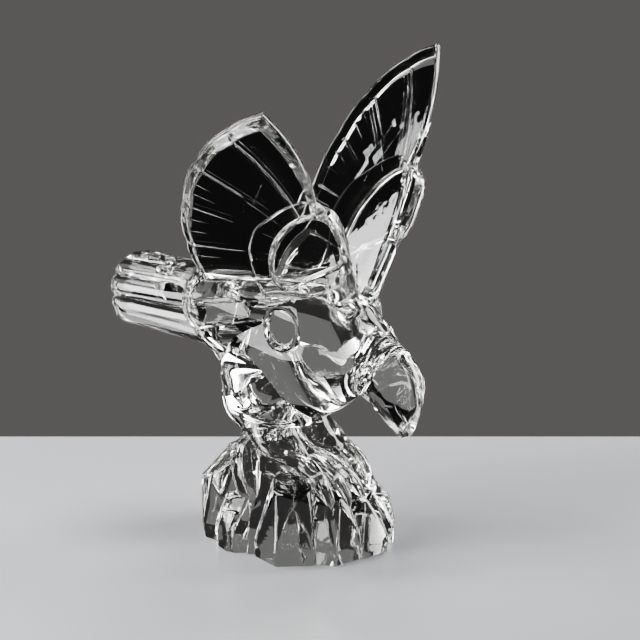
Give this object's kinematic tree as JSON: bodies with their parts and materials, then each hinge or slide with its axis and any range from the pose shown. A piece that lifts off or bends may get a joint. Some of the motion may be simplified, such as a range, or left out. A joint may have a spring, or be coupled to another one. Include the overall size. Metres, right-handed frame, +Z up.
{
  "type": "crystal eagle sculpture",
  "caption": "Clear glass eagle with raised wings, a fanned tail and a bowed head, standing on a faceted rock base; a display ornament cast in one piece.",
  "frame": {"origin": "on the flat underside of the rock, below the middle of the perch", "axes": "+Z up; the eagle faces -Y, its left wing is towards +X and its tail towards +Y"},
  "size_m": [0.1648, 0.1644, 0.2304],
  "materials": {
    "crystal": "polished clear lead crystal"
  },
  "bodies": {
    "root": {"crystal_eagle": "crystal"}
  },
  "joints": []
}
